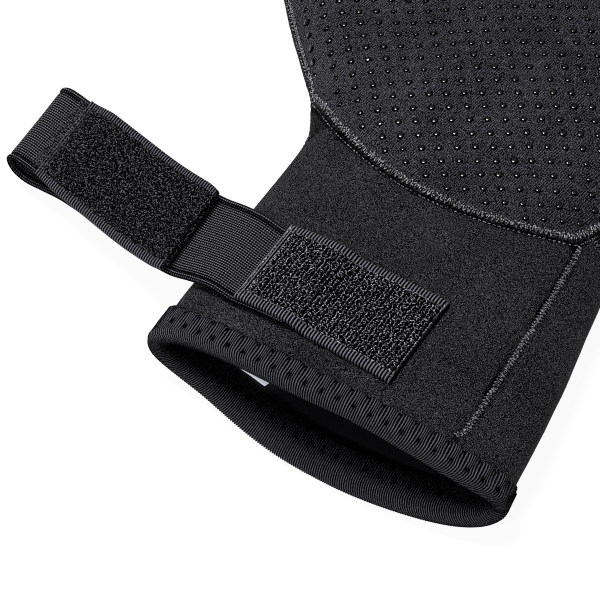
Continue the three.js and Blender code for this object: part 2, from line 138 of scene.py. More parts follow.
def body_point(y, angle, inset):
    """A point of the sleeve: half width times a power of the cosine, half height times a power of the
    sine, about the section's middle, flattened where it rests."""
    centre, half, low, high, above, below = columns(BODY, y)
    cos, sin = np.cos(angle), np.sin(angle)
    power = 2 / np.where(sin > 0, above, below)
    x = centre + (half - inset) * np.sign(cos) * np.abs(cos) ** power
    z = (low + high) / 2 + ((high - low) / 2 - inset) * np.sign(sin) * np.abs(sin) ** power
    return np.stack(np.broadcast_arrays(x, y, np.maximum(z, np.maximum(inset, 0))), -1)


def body_top(x, y):
    """Height of the sleeve's palm side over a place in plan."""
    centre, half, low, high, above, _ = columns(BODY, y)
    across = np.minimum(np.abs((x - centre) / half), 1)
    return (low + high) / 2 + (high - low) / 2 * (1 - across ** above) ** (1 / above)


def round_angle(points):
    """The angle round the sleeve at which body_point would give this direction."""
    centre, half, low, high, above, below = columns(BODY, points[:, 1])
    across = (points[:, 0] - centre) / half
    up = (points[:, 2] - (low + high) / 2) / ((high - low) / 2)
    power = np.where(up > 0, above, below) / 2
    return np.arctan2(np.sign(up) * np.abs(up) ** power, np.sign(across) * np.abs(across) ** power)


def mouth(angle):
    """y of the bound edge and of the tape's outer hem at angles round the sleeve."""
    return columns(MOUTH, np.degrees(angle) % 360)


DIGIT_LINES = {}
for _name, _rows in DIGITS.items():
    _rows = np.array(_rows, float)
    _table = np.column_stack([np.linspace(0, 1, len(_rows)), _rows])
    _line = cubic(_table, np.linspace(0, 1, 61))
    DIGIT_LINES[_name] = (_line, unit(np.gradient(_line[:, :2], axis=0)))


def plan_maps(x, y):
    """For places in plan, each form's numbers that don't depend on height: distance across and ahead as
    shares of the half width, middle height, half height and roundness above and below."""
    centre, half, low, high, above, below = columns(BODY, y)
    ahead = np.maximum(y - BODY_END, 0) / (BODY[-1, 0] - BODY_END)
    maps = [((x - centre) / half, ahead, (low + high) / 2, (high - low) / 2, above, below)]
    for line, along in DIGIT_LINES.values():
        near = np.argmin((x[..., None] - line[:, 0]) ** 2 + (y[..., None] - line[:, 1]) ** 2, axis=-1)
        dx, dy = x - line[near, 0], y - line[near, 1]
        tx, ty = along[near, 0], along[near, 1]
        run = dx * tx + dy * ty
        ends = (near == 0) & (run < 0) | (near == len(line) - 1) & (run > 0)
        half, low, high = line[near, 2], line[near, 3], line[near, 4]
        rounded = np.full_like(half, DIGIT_ROUND)
        maps.append(((dx * ty - dy * tx) / half, np.where(ends, run, 0) / half, (low + high) / 2,
                     (high - low) / 2, rounded, rounded))
    return maps


def soft_union(maps, z):
    """Below zero inside the forms and zero on them: each form's superellipse with a domed end, the forms
    run together by a soft minimum."""
    total = 0.0
    for across, ahead, middle, rise, above, below in maps:
        up = (z - middle) / rise
        power = np.where(up > 0, above, below)
        flat = (np.abs(across) ** power + np.abs(up) ** power) ** (1 / power)
        total = total + np.exp(-np.minimum((np.hypot(flat, ahead) - 1) * rise, 60) / BLEND)
    return -BLEND * np.log(np.maximum(total, 1e-30))


def hand_field(x, y, z):
    """The soft union of sleeve, palm and digits at single places: the glove's plain outer form."""
    return soft_union(plan_maps(x, y), z)


def surface_net(values, origin, step):
    """Points and quads of the zero surface of a 3-D grid: one point in each cell that it passes through,
    the mean of its crossings of the cell's edges, and one quad round each grid edge that it crosses."""
    inside = values < 0
    cells = tuple(n - 1 for n in values.shape)
    total, count = np.zeros(cells + (3,)), np.zeros(cells)
    for axis in range(3):
        b, c = (axis + 1) % 3, (axis + 2) % 3
        for side_b in (0, 1):
            for side_c in (0, 1):
                start = [slice(0, n) for n in cells]
                start[b] = slice(side_b, side_b + cells[b])
                start[c] = slice(side_c, side_c + cells[c])
                end = list(start)
                end[axis] = slice(1, cells[axis] + 1)
                v0, v1 = values[tuple(start)], values[tuple(end)]
                hit = inside[tuple(start)] != inside[tuple(end)]
                place = np.zeros(3)
                place[b], place[c] = side_b, side_c
                at = np.broadcast_to(place, cells + (3,)).copy()
                at[..., axis] = np.where(hit, v0 / np.where(hit, v0 - v1, 1), 0)
                total += at * hit[..., None]
                count += hit
    used = count > 0
    number = np.full(cells, -1)
    number[used] = np.arange(used.sum())
    points = (np.argwhere(used) + total[used] / count[used][:, None]) * step + origin
    quads = []
    for axis in range(3):
        b, c = (axis + 1) % 3, (axis + 2) % 3
        keep = [slice(1, -1)] * 3
        keep[axis] = slice(None)
        grid = inside[tuple(keep)]
        first = np.take(grid, range(cells[axis]), axis)
        second = np.take(grid, range(1, cells[axis] + 1), axis)
        at = np.argwhere(first != second)
        outward = first[tuple(at.T)]
        at[:, b] += 1
        at[:, c] += 1
        corners = []
        for back_b, back_c in ((1, 1), (0, 1), (0, 0), (1, 0)):
            cell = at.copy()
            cell[:, b] -= back_b
            cell[:, c] -= back_c
            corners.append(number[tuple(cell.T)])
        faces = np.stack(corners, 1)
        faces[~outward] = faces[~outward][:, ::-1]
        quads.append(faces)
    return points, np.concatenate(quads)


def clip(points, triangles, keep):
    """The part of a triangle mesh where keep, one value a point, is above zero. Triangles on the border
    are cut along the straight line of zeros."""
    inside = keep > 0
    count = inside[triangles].sum(1)
    whole = triangles[count == 3]
    cut = triangles[(count == 1) | (count == 2)]
    lone = np.where((inside[cut].sum(1) == 1)[:, None], inside[cut], ~inside[cut])
    turn = np.argmax(lone, 1)
    cut = cut[np.arange(len(cut))[:, None], (turn[:, None] + np.arange(3)) % 3]
    edges = np.sort(np.concatenate([cut[:, [0, 1]], cut[:, [0, 2]]]), 1)
    edges, which = np.unique(edges, axis=0, return_inverse=True)
    which = which.reshape(-1)
    share = (keep[edges[:, 0]] / (keep[edges[:, 0]] - keep[edges[:, 1]]))[:, None]
    made = points[edges[:, 0]] * (1 - share) + points[edges[:, 1]] * share
    ab = which[:len(cut)] + len(points)
    ac = which[len(cut):] + len(points)
    one = inside[cut[:, 0]]
    faces = [whole, np.stack([cut[one, 0], ab[one], ac[one]], 1),
             np.stack([ab[~one], cut[~one, 1], cut[~one, 2]], 1),
             np.stack([ab[~one], cut[~one, 2], ac[~one]], 1)]
    faces = np.concatenate(faces)
    points = np.concatenate([points, made])
    used, faces = np.unique(faces, return_inverse=True)
    return points[used], faces.reshape(-1, 3)


def grid_faces(rows, cols, wrap_rows=False, wrap_cols=False):
    """Quads of a grid of points numbered row by row; a wrapped side joins its last line to its first."""
    i = np.arange(rows if wrap_rows else rows - 1)[:, None]
    j = np.arange(cols if wrap_cols else cols - 1)[None, :]
    below, beside = (i + 1) % rows, (j + 1) % cols
    return np.stack([i * cols + j, i * cols + beside, below * cols + beside, below * cols + j],
                    -1).reshape(-1, 4)


def piece(name, points, faces, material, stands_for=None, slot=None, weave=None):
    """A mesh object of those points, in glove millimetres, and faces, arrays of triangles or quads. weave
    is each point's place on the cloth: lengthways, crossways, and the share that a pattern shows, which
    on some pieces also carries painted shade and light."""
    groups = faces if isinstance(faces, list) else [faces]
    corners = np.concatenate([g.reshape(-1) for g in groups])
    sizes = np.concatenate([np.full(len(g), g.shape[1]) for g in groups])
    mesh = bpy.data.meshes.new(name)
    mesh.vertices.add(len(points))
    mesh.vertices.foreach_set("co", ((points + SHIFT) * MM).astype(np.float32).ravel())
    mesh.loops.add(len(corners))
    mesh.loops.foreach_set("vertex_index", corners.astype(np.int32))
    mesh.polygons.add(len(sizes))
    mesh.polygons.foreach_set("loop_start", (np.cumsum(sizes) - sizes).astype(np.int32))
    mesh.update(calc_edges=True)
    mesh.validate()
    mesh.polygons.foreach_set("use_smooth", np.ones(len(mesh.polygons), bool))
    if weave is not None:
        mesh.attributes.new("weave", "FLOAT_VECTOR", "POINT").data.foreach_set(
            "vector", weave.astype(np.float32).ravel())
    obj = bpy.data.objects.new(name, mesh)
    bpy.context.scene.collection.objects.link(obj)
    for one in material if isinstance(material, list) else [material]:
        mesh.materials.append(one)
    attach(obj, "root")
    if stands_for:
        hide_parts(stands_for)
    return obj


# Seams
TONGUE_X, TONGUE_Y, TONGUE_LEFT, TONGUE_RIGHT, TONGUE_POWER = 2.5, 61.8, 0.0062, 0.0049, 2.1
_u = np.linspace(-37.5, 32, 60)
_u_y = TONGUE_Y + np.where(_u < TONGUE_X, TONGUE_LEFT, TONGUE_RIGHT) * np.abs(_u - TONGUE_X) ** TONGUE_POWER
PALM_X = np.concatenate([[-140, -60, -47.5], _u, [52, 90]])
PALM_Y = np.concatenate([[92, 92, 84], _u_y, [108, 114]])


def side_seam(x, y):
    """Height of the seam round the sides: it comes down towards the fingertips, and rises a little where
    the thumb leaves the wrist."""
    thumb = np.clip((-27 - x) / 8, 0, 1) * np.clip((y - 72) / 6, 0, 1) * np.clip((140 - y) / 30, 0, 1)
    return 12 - 2.5 * (y - 60) / 190 + 3.2 * thumb


def wrist_seam(x, z):
    """y of the wrist seam: level, but drawn up to the palm's border on the thumb side."""
    return WRIST_Y + WRIST_RISE * hump(x - WRIST_RISE_X, 3.2) * np.clip((z - 8) / 6, 0, 1)


def palm_side(points):
    """Distance inside the palm panel's border, negative outside: the lesser of the distance past its
    outline in plan and the height over the side seams."""
    x, y, z = points.T
    edge = np.interp(x, PALM_X, PALM_Y)
    slope = (np.interp(x + 0.5, PALM_X, PALM_Y) - np.interp(x - 0.5, PALM_X, PALM_Y))
    return np.minimum((y - edge) / np.hypot(1, slope), z - side_seam(x, y))


def cuff_seam_x(y):
    """x of the cuff's side seam: straight between five places along it."""
    return np.interp(y, (3, 14, 29, 47, 68), (32.5, 33.1, 33.8, 34.2, 34.1))


def seam_distance(points):
    """Distance to the nearest seam: the palm's border, the wrist's seam beside it, the cuff's side seam."""
    x, y, z = points.T
    palm = palm_side(points)
    wrist = np.hypot(y - wrist_seam(x, z), np.maximum(palm, 0))
    side = np.hypot(x - cuff_seam_x(y), np.maximum(y - 68, 0) + np.maximum(14 - z, 0))
    return np.minimum(np.minimum(np.abs(palm), wrist), side)


def crease_and_shade(points):
    """How deep the pinched cloth beside a seam is drawn in, and how dark it is painted as shade in that crease,
    0 to 1: past the palm's border on its outer side, and on both sides of the cuff's own seams."""
    x, y, z = points.T
    palm = palm_side(points)
    wrist = np.hypot(y - wrist_seam(x, z), np.maximum(palm, 0))
    side = np.hypot(x - cuff_seam_x(y), np.maximum(y - 68, 0) + np.maximum(14 - z, 0) + np.maximum(3 - y, 0))
    both = 0.6 * hump(np.minimum(wrist, side) - 0.95, 0.3)
    both = np.where((side < 2) & (x > cuff_seam_x(y)), 0.3 * both, both)
    return np.maximum(hump(palm + 1.25, 0.5), both)


def soft_noise(points, size, seed, octaves=2):
    """Smooth random heights about zero: random values on a 3-D lattice, mixed by eased steps."""
    total = np.zeros(len(points))
    for octave in range(octaves):
        at = points / size * 2 ** octave + 100.5
        cell = np.floor(at).astype(np.int64)
        t = ease(at - cell)
        for corner in range(8):
            offset = np.array([corner & 1, corner >> 1 & 1, corner >> 2 & 1])
            key = ((cell + offset) * np.array([73856093, 19349663, 83492791])).sum(1) + seed * 2654435761
            key = (key ^ (key >> 13)) * 1274126177 & 0xFFFFFFFF
            value = (key ^ (key >> 16)) % 10007 / 5003.0 - 1
            weight = np.prod(np.where(offset, t, 1 - t), axis=1)
            total += value * weight / 2 ** octave
    return total


def line_noise(at, size, seed):
    """soft_noise at lengths along a line."""
    return soft_noise(np.stack([at, 0 * at, 0 * at], -1), size, seed)


def rest_shape(points):
    """How far in from the plain form the neoprene lies: drawn in beside the seams, with soft hollows."""
    d = seam_distance(points)
    groove = 0.45 * hump(d, 1.7) + 0.4 * crease_and_shade(points)
    return groove + 0.22 * soft_noise(points, 26, 3) + 0.05 * soft_noise(points, 6, 5)


# The neoprene
_x = np.arange(-97, 66, STEP)
_y = np.arange(-13.5, 250, STEP)
_z = np.arange(-3.4, 30, STEP)
_gx, _gy = np.meshgrid(_x, _y, indexing="ij")
FIELD = soft_union([[part[..., None] for part in form] for form in plan_maps(_gx, _gy)], _z)
skin, skin_quads = surface_net(FIELD, np.array([_x[0], _y[0], _z[0]]), STEP)


def gradient(points):
    """Slope of hand_field by small steps each way."""
    slopes = []
    for axis in range(3):
        step = np.zeros(3)
        step[axis] = 0.2
        slopes.append((hand_field(*(points + step).T) - hand_field(*(points - step).T)) / 0.4)
    return np.stack(slopes, -1)


slope = gradient(skin)
for _ in range(2):
    skin = skin - slope * (hand_field(*skin.T) / (slope ** 2).sum(1))[:, None]
skin_normal = unit(slope)
plain = skin.copy()
skin = skin - skin_normal * rest_shape(skin)[:, None]
skin[:, 2] = np.where(skin[:, 2] > 0, 1, PRESSED) * skin[:, 2]

_tri = np.concatenate([skin_quads[:, [0, 1, 2]], skin_quads[:, [0, 2, 3]]])
_palm = palm_side(plain)
_edge = plain[:, 1] - (mouth(round_angle(plain))[0] + EDGE_CLEAR)
_cut = GAP / 2
_above_wrist = plain[:, 1] - wrist_seam(plain[:, 0], plain[:, 2])


def panel(*conditions):
    """The part of the skin where every condition, a value a point, is above zero."""
    points, faces = np.column_stack([skin, *conditions]), _tri
    for k in range(len(conditions)):
        points, faces = clip(points, faces, points[:, 3 + k])
    return points[:, :3], faces


# Materials
def linear(code):
    """Linear colour of an sRGB hex code."""
    parts = np.array([int(code[k:k + 2], 16) / 255 for k in (0, 2, 4)])
    parts = np.where(parts <= 0.04045, parts / 12.92, ((parts + 0.055) / 1.055) ** 2.4)
    return (*parts.tolist(), 1.0)


def add(tree, kind, inputs=None, **settings):
    """A node of that kind in the tree: inputs gives a value or another node's output for each socket."""
    node = tree.nodes.new("ShaderNode" + kind)
    for key, value in settings.items():
        setattr(node, key, value)
    for key, value in (inputs or {}).items():
        if isinstance(value, bpy.types.NodeSocket):
            tree.links.new(value, node.inputs[key])
        else:
            node.inputs[key].default_value = value
    return node


def material(name):
    """An empty material of that name, and its node tree."""
    made = bpy.data.materials.new(name)
    made.use_nodes = True
    made.node_tree.nodes.clear()
    return made, made.node_tree


def close(tree, inputs):
    """Ends a material in a plain surface shader with those inputs."""
    shader = add(tree, "BsdfPrincipled", inputs)
    add(tree, "OutputMaterial", {"Surface": shader.outputs[0]})


def worked(tree, value, *steps):
    """The value taken through steps of arithmetic, each an operation and what else it takes."""
    for operation, other in steps:
        value = add(tree, "Math", {0: value, 1: other}, operation=operation).outputs[0]
    return value


def weave_of(tree):
    """The piece's own weave attribute: lengthways, crossways and the share that shows, which also carries
    painted shade and light.
    """
    return add(tree, "SeparateXYZ", {0: add(tree, "Attribute", attribute_name="weave").outputs[1]}).outputs


def grain_of(tree, scale, detail=1.0):
    """Fine noise over the object's own places, and those places in millimetres."""
    place = add(tree, "TexCoord").outputs["Object"]
    mm = add(tree, "VectorMath", {0: place, "Scale": 1000.0}, operation="SCALE").outputs[0]
    noise = add(tree, "TexNoise", {"Vector": mm, "Scale": scale, "Detail": detail}).outputs[0]
    return noise, mm


def cloth(dark, light, height, tree, made, rough=0.85, shine=0.05, bump=0.5, depth=0.15, low=0.0,
          high=1.0):
    """Ends a cloth material: its low places dark and its high ones light, painted shade and light on the
    cloth's relief, and the same heights as bump, of depth millimetres."""
    share = add(tree, "MapRange", {0: height, 1: low, 2: high, 3: 0.0, 4: 1.0}).outputs[0]
    shade = add(tree, "Mix", {0: share, 6: linear(dark), 7: linear(light)}, data_type="RGBA").outputs[2]
    normal = add(tree, "Bump", {"Height": height, "Strength": bump, "Distance": depth * MM}).outputs[0]
    close(tree, {"Base Color": shade, "Roughness": rough, "Specular IOR Level": shine, "Normal": normal})
    return made


TWILL_PITCH, TWILL_TURN = 0.6, math.radians(-76)


def neoprene(name, dark, light, twill):
    """Jersey-faced neoprene: a dull dark cloth face whose fine grain catches the light in specks. The
    palm's has a twill's slanting rows besides, and beside the seams the face is painted dark, as the
    shade in the creases."""
    made, tree = material(name)
    grain, mm = grain_of(tree, 6.4, 0.0)
    if twill:
        turned = add(tree, "VectorRotate", {"Vector": mm, "Angle": TWILL_TURN},
                     rotation_type="Z_AXIS").outputs[0]
        rows = add(tree, "SeparateXYZ", {0: turned}).outputs[1]
        grain = worked(tree, rows, ("MULTIPLY", 2 * math.pi / TWILL_PITCH), ("SINE", 0.0),
                       ("MULTIPLY", 0.06), ("ADD", grain))
    cloud = add(tree, "TexNoise", {"Vector": mm, "Scale": 0.06, "Detail": 1.0}).outputs[0]
    grain = worked(tree, cloud, ("SUBTRACT", 0.5), ("MULTIPLY", 0.10), ("ADD", grain))
    # Painted shade beside the seams: the grain is lowered where the weave's third value is.
    grain = worked(tree, weave_of(tree)[2], ("MULTIPLY", 0.5), ("ADD", 0.5), ("MULTIPLY", grain))
    return cloth(dark, light, grain, tree, made, bump=1.0, depth=0.3, low=0.55, high=0.64)


def plain_cloth(name, code, rough, shine=0.3, ior=1.5, painted_glow=0.0):
    """One even colour; glow is painted light, an emission that keeps a white bright even in shade."""
    made, tree = material(name)
    close(tree, {"Base Color": linear(code), "Roughness": rough, "Specular IOR Level": shine, "IOR": ior,
                 "Emission Color": (0.85, 0.88, 1.0, 1.0), "Emission Strength": painted_glow})
    return made


def woven(name, dark, light, pitch, cross, shine=0.06):
    """Woven or knitted tape: ribs across its length, each broken into short stitches of the cross pitch,
    shown as far as the weave's third value says."""
    made, tree = material(name)
    grain, _ = grain_of(tree, 3.6)
    u, v, share = weave_of(tree)
    rib = worked(tree, u, ("MULTIPLY", math.pi / pitch), ("SINE", 0.0), ("ABSOLUTE", 0.0), ("POWER", 1.7))
    if cross:
        rib = worked(tree, v, ("MULTIPLY", math.pi / cross), ("SINE", 0.0), ("ABSOLUTE", 0.0),
                     ("MULTIPLY", 0.8), ("ADD", 0.35), ("MULTIPLY", rib))
    rough = worked(tree, grain, ("SUBTRACT", 0.5), ("MULTIPLY", 0.8))
    height = worked(tree, rib, ("MULTIPLY", share), ("ADD", rough))
    return cloth(dark, light, height, tree, made, shine=shine, bump=0.9, low=0.48, high=1.0)


def yarn(name, dark, light, rough=0.6, shine=0.3):
    """Thread or filament: each stretch of it a little lighter or darker."""
    made, tree = material(name)
    grain, _ = grain_of(tree, 2.6)
    return cloth(dark, light, grain, tree, made, rough=rough, shine=shine, bump=0.2, low=0.46, high=0.66)


def rubber(name, code):
    """Printed rubber dots: each dome's crown mirrors the lights in a small spot, and its skirt, where the
    print soaks into the cloth, is dull and black."""
    made, tree = material(name)
    close(tree, {"Base Color": linear(code), "Roughness": 0.17, "IOR": 1.7,
                 "Specular IOR Level": weave_of(tree)[2]})
    return made


# The back's neoprene is painted darker than the cuff's, as shade, matched to the small shaded triangle of it
# that shows. The lining is a flat dark grey inside the mouth, painted a little lighter to stand in for light
# that the lamps don't bring there. The label is the one white thing, given a painted glow of its own in the
# shade.
CUFF_NEOPRENE = neoprene("smooth jersey neoprene", "010101", "69676b", False)
SHADED_BACK_NEOPRENE = neoprene("smooth jersey neoprene of the back, painted darker as shade", "010101", "4c4a4c", False)
PALM_NEOPRENE = neoprene("twill grain palm neoprene", "010102", "75737c", True)
LINING = plain_cloth("nylon lining", "242428", 0.8, 0.1)
KNIT = woven("ribbed knit binding", "010102", "6c6a72", RIB, 0)
HOOK_WEAVE = woven("hook tape weave", "010102", "8a8892", HOOK_RIB, 0)
WEAVE = woven("woven elastic", "010102", "807e86", 0.66, 0.7)
LOOP_WEAVE = woven("loop tape weave", "010102", "74727c", LOOP_RIB, 0)
SATIN = plain_cloth("white satin label", "f2f2f4", 0.5, painted_glow=0.45)
RUBBER = rubber("glossy grip rubber, dull where it runs into the cloth", "010101")
HOOK_FILAMENT = yarn("hook filament", "29282d", "e2e0ea", 0.4, 0.4)
NAP_YARN = yarn("loop yarn", "060608", "908e98", 0.7, 0.2)
THREAD = yarn("overlock thread", "060607", "c4c3ca")
THREAD_CUFF = yarn("overlock thread of the cuff's side seam", "060607", "a3a2a9")
THREAD_DULL = yarn("overlock thread in the cuff", "09090b", "8a898f")

for _name, _conditions, _mat, _slot, _flat, _area in (
        ("cuff", (-_palm - _cut, -_above_wrist - _cut, _edge), CUFF_NEOPRENE, "neoprene",
         (0.21, 0.09), 0.0143),
        ("back_panel", (-_palm - _cut, _above_wrist - _cut), SHADED_BACK_NEOPRENE, "neoprene",
         (0.18, 0.21), 0.0226),
        ("palm_panel", (_palm - _cut,), PALM_NEOPRENE, "palm_neoprene",
         (0.17, 0.2), 0.0208)):
    _points, _faces = panel(*_conditions)
    # Beside the seams the face is painted darker, as shade in the creases, through the weave's third value.
    _painted_shade = crease_and_shade(_points)
    _obj = piece(_name + "_skin", _points, _faces, [_mat, LINING], _name, _slot,
                 np.stack([0 * _painted_shade, 0 * _painted_shade, 1 - _painted_shade], -1))
    _weld = _obj.modifiers.new("weld", "WELD")
    _weld.merge_threshold = 0.12 * MM
    _wall = _obj.modifiers.new("wall", "SOLIDIFY")
    _wall.thickness = WALL * MM
    _wall.offset = -1
    _wall.material_offset = 1
    if _name == "palm_panel":
        palm_points, palm_faces = _points, _faces

# The palm side's height over places in plan
_filled = FIELD < 0
_k = np.clip(FIELD.shape[2] - 1 - np.argmax(_filled[:, :, ::-1], axis=2), 0, FIELD.shape[2] - 2)
_v0 = np.take_along_axis(FIELD, _k[..., None], 2)[..., 0]
_v1 = np.take_along_axis(FIELD, _k[..., None] + 1, 2)[..., 0]
TOP = np.where(_filled.any(2), _z[_k] + STEP * _v0 / np.where(_v0 < _v1, _v0 - _v1, 1), 0)


def settle(points):
    """Points moved onto the neoprene's face, with its outward normals: one Newton step onto the plain
    form, then in by rest_shape."""
    slope = gradient(points)
    points = points - slope * (hand_field(*points.T) / (slope ** 2).sum(1))[:, None]
    normal = unit(slope)
    return points - normal * rest_shape(points)[:, None], normal


def on_palm_side(x, y):
    """Places in plan set on the neoprene's palm side: heights between grid columns are blended."""
    u, v = (x - _x[0]) / STEP, (y - _y[0]) / STEP
    i = np.clip(u.astype(int), 0, TOP.shape[0] - 2)
    j = np.clip(v.astype(int), 0, TOP.shape[1] - 2)
    s, t = u - i, v - j
    z = ((TOP[i, j] * (1 - s) + TOP[i + 1, j] * s) * (1 - t)
         + (TOP[i, j + 1] * (1 - s) + TOP[i + 1, j + 1] * s) * t)
    return settle(np.stack([x, y, z], -1))


def stamped(shape, faces, origins, right, ahead, up):
    """Copies of a small shape, one at each origin, its x, y and z laid along right, ahead and up."""
    points = (origins[:, None] + shape[None, :, :1] * right[:, None] + shape[None, :, 1:2] * ahead[:, None]
              + shape[None, :, 2:] * up[:, None])
    start = (np.arange(len(origins)) * len(shape))[:, None, None]
    return points.reshape(-1, 3), [(f[None] + start).reshape(-1, f.shape[1]) for f in faces]


SKEW = np.array([0.31, 0.52, 0.79])      # any slanting direction, from which one across a thread is found


def tubes(paths, radius, sides, closed=False):
    """Round threads along paths of equal length: a ring of points across each path's direction at every
    place, the ends closed by flat faces."""
    count, length, _ = paths.shape
    if closed:
        along = np.roll(paths, -1, 1) - np.roll(paths, 1, 1)
    else:
        along = np.gradient(paths, axis=1)
    along = unit(along)
    side = unit(np.cross(along, SKEW))
    up = np.cross(along, side)
    turn = np.arange(sides) * 2 * np.pi / sides
    ring = np.cos(turn)[:, None] * side[:, :, None] + np.sin(turn)[:, None] * up[:, :, None]
    points = paths[:, :, None] + ring * np.broadcast_to(radius, (count, length))[..., None, None]
    start = (np.arange(count) * length * sides)[:, None, None]
    faces = [(grid_faces(length, sides, wrap_rows=closed, wrap_cols=True)[None] + start).reshape(-1, 4)]
    if not closed:
        ends = np.stack([np.arange(sides)[::-1], (length - 1) * sides + np.arange(sides)])
        faces.append((ends[None] + start).reshape(-1, sides))
    return points.reshape(-1, 3), faces


def joined(*meshes):
    """Several meshes, each its points and a list of faces, as one."""
    points, faces, start = [], [], 0
    for some, groups in meshes:
        faces += [g + start for g in groups]
        points.append(some)
        start += len(some)
    return np.concatenate(points), faces


# Grip dots: a lattice of small domes over the palm panel's face
DOT_ORIGIN, DOT_RIGHT, DOT_UP = (-39.44, 83.25), (3.894, 1.973), (-2.381, 3.459)
DOT_RADIUS, DOT_HEIGHT, DOT_SIDES = 0.8, 0.42, 10
# The dome's rings from the skirt up: radius and height as shares of the dot's, and how far it shines
DOT_RINGS = np.array([(1.16, -0.2, 0.0), (1.06, 0.34, 0.0), (0.86, 0.7, 0.0), (0.55, 0.88, 0.85),
                      (0.28, 0.97, 1.0)])
DOT_MARGIN = 2.3               # least distance of a dot's middle from the palm's border
_i, _j = np.meshgrid(np.arange(-40, 60), np.arange(-40, 60), indexing="ij")
_i, _j = _i.ravel(), _j.ravel()
_dx = DOT_ORIGIN[0] + _i * DOT_RIGHT[0] + _j * DOT_UP[0]
_dy = DOT_ORIGIN[1] + _i * DOT_RIGHT[1] + _j * DOT_UP[1]
_in = (_dx > _x[0]) & (_dx < _x[-2]) & (_dy > 60) & (_dy < _y[-2])
_dx, _dy = _dx[_in] + rng.normal(0, 0.05, _in.sum()), _dy[_in] + rng.normal(0, 0.05, _in.sum())
_i, _j = ((_dx - _x[0]) / STEP).astype(int), ((_dy - _y[0]) / STEP).astype(int)
_in = (TOP[_i, _j] > 3) & (TOP[_i + 1, _j + 1] > 3)
_dots, _up = on_palm_side(_dx[_in], _dy[_in])
_in = (palm_side(_dots) > DOT_MARGIN) & (_up[:, 2] > 0.45)
_dots, _up = _dots[_in], _up[_in]
_turn = np.arange(DOT_SIDES) * 2 * np.pi / DOT_SIDES
_dome = np.stack([np.outer(DOT_RINGS[:, 0] * DOT_RADIUS, np.cos(_turn)),
                  np.outer(DOT_RINGS[:, 0] * DOT_RADIUS, np.sin(_turn)),
                  np.repeat(DOT_RINGS[:, 1:2] * DOT_HEIGHT, DOT_SIDES, 1)], -1).reshape(-1, 3)
_dome = np.vstack([_dome, (0, 0, DOT_HEIGHT)])
_last = len(_dome) - 1
_ring = _last - DOT_SIDES + np.arange(DOT_SIDES)
_crown = np.stack([_ring, np.roll(_ring, -1), np.full(DOT_SIDES, _last)], 1)
_right = unit(np.cross(_up, (0.0, 1.0, 0.0)))
_scale = 1 + rng.normal(0, 0.06, len(_dots))[:, None]
_gloss = np.tile(np.append(np.repeat(DOT_RINGS[:, 2], DOT_SIDES), 1.0), len(_dots))
piece("grip_dots", *stamped(_dome, [grid_faces(len(DOT_RINGS), DOT_SIDES, wrap_cols=True), _crown], _dots,
                            _right * _scale, np.cross(_up, _right) * _scale, _up), RUBBER,
      weave=_gloss[:, None] * (0.0, 0.0, 1.0))

# Cuff binding: ribbed knit tape folded over the mouth
STITCH = 4.2                   # spacing of the stitches that hold it
INNER_HEM = 10.0
EDGE_GAP = 0.9
_angles = np.linspace(0, 2 * np.pi, 4001)
_rim = body_point(mouth(_angles)[0], _angles, 0)
_run = run_along(_rim)
RIBS = int(round(_run[-1] / RIB))
PER_RIB = 4
_cols = RIBS * PER_RIB
_s = np.arange(_cols) * _run[-1] / _cols
_stitches = round(_run[-1] / STITCH)
_beat = _s / _run[-1] * _stitches


def binding_section(angle):
    """The tape's section at each angle, as rows of inset, y and distance from the outer hem: down the
    outer face, round the fold, up the inner face, and back along its underside."""
    edge, hem = mouth(angle)
    hem = hem + 0.4 * np.abs(np.sin(np.pi * _beat)) - 0.15
    bend = WALL / 2 + GAP + TAPE
    rows = []
    outer = np.concatenate([[0, 0.12], np.linspace(0.3, 1, 15)])
    for share in outer:
        y = hem + (edge + bend - hem) * share
        lift = TAPE * min(1.0, 0.25 + share * 12)
        rows.append((-GAP * 0.3 - lift + 0 * angle, y, hem - y))
    start = rows[-1][2]
    for k in range(1, 9):
        t = np.pi * k / 9
        rows.append((WALL / 2 - bend * np.cos(t) + 0 * angle, edge + bend * (1 - np.sin(t)),
                     start + bend * t))
    start = rows[-1][2]
    for share in np.linspace(0, 1, 9):
        rows.append((WALL + GAP + TAPE + 0 * angle, edge + bend + (INNER_HEM - bend) * share,
                     start + (INNER_HEM - bend) * share))
    under = rows[-1][2] + 1
    for inset, y in ((WALL + GAP, edge + INNER_HEM), (WALL + GAP, edge + EDGE_CLEAR - EDGE_GAP),
                     (-GAP * 0.3, edge + EDGE_CLEAR - EDGE_GAP), (-GAP * 0.3, hem)):
        rows.append((inset + 0 * angle, y + 0 * angle, under + 0 * angle))
    return np.array(rows), len(outer)


_angle = np.interp(_s, _run, _angles)
_rows, _outer = binding_section(_angle)
_from_hem = _rows[:, 2]
_phase = _beat[None, :] + 0 * _from_hem
_near = np.abs((_phase + 0.5) % 1 - 0.5) * STITCH
_off = np.abs((_phase + 1.0) % 1 - 0.5) * STITCH
# Stitch pits at the hem and midway, and the cloth puffed up between them
_low = hump(_near, 0.5) * hump(_from_hem - 0.3, 0.7)
_mid = hump(_off, 0.55) * hump(_from_hem - 4.7, 0.6)
_puff = 0.1 * np.cos(2 * np.pi * _phase + np.pi) * hump(_from_hem - 2.2, 1.6)
_puff += 0.09 * np.cos(2 * np.pi * _phase) * hump(_from_hem - 4.4, 1.4)
_rib = 0.16 * np.array([-1.1, 0.45, 1.0, 0.45])[np.arange(_cols) % PER_RIB][None, :]
_fade = np.ones_like(_from_hem)
_fade[-4:] = 0
_sway = 0.24 * np.sin(2 * np.pi * _phase + 0.8) * hump(_from_hem - 2.4, 2.2)
_sway += 0.25 * line_noise(_s, 9, 11)[None, :] * np.cos(_from_hem / 4)
_inward = _from_hem[_outer + 16] - _from_hem
_low += np.where(_inward < 5, 0.5 * hump(_off, 0.6) * hump(_inward - 0.6, 0.9), 0)
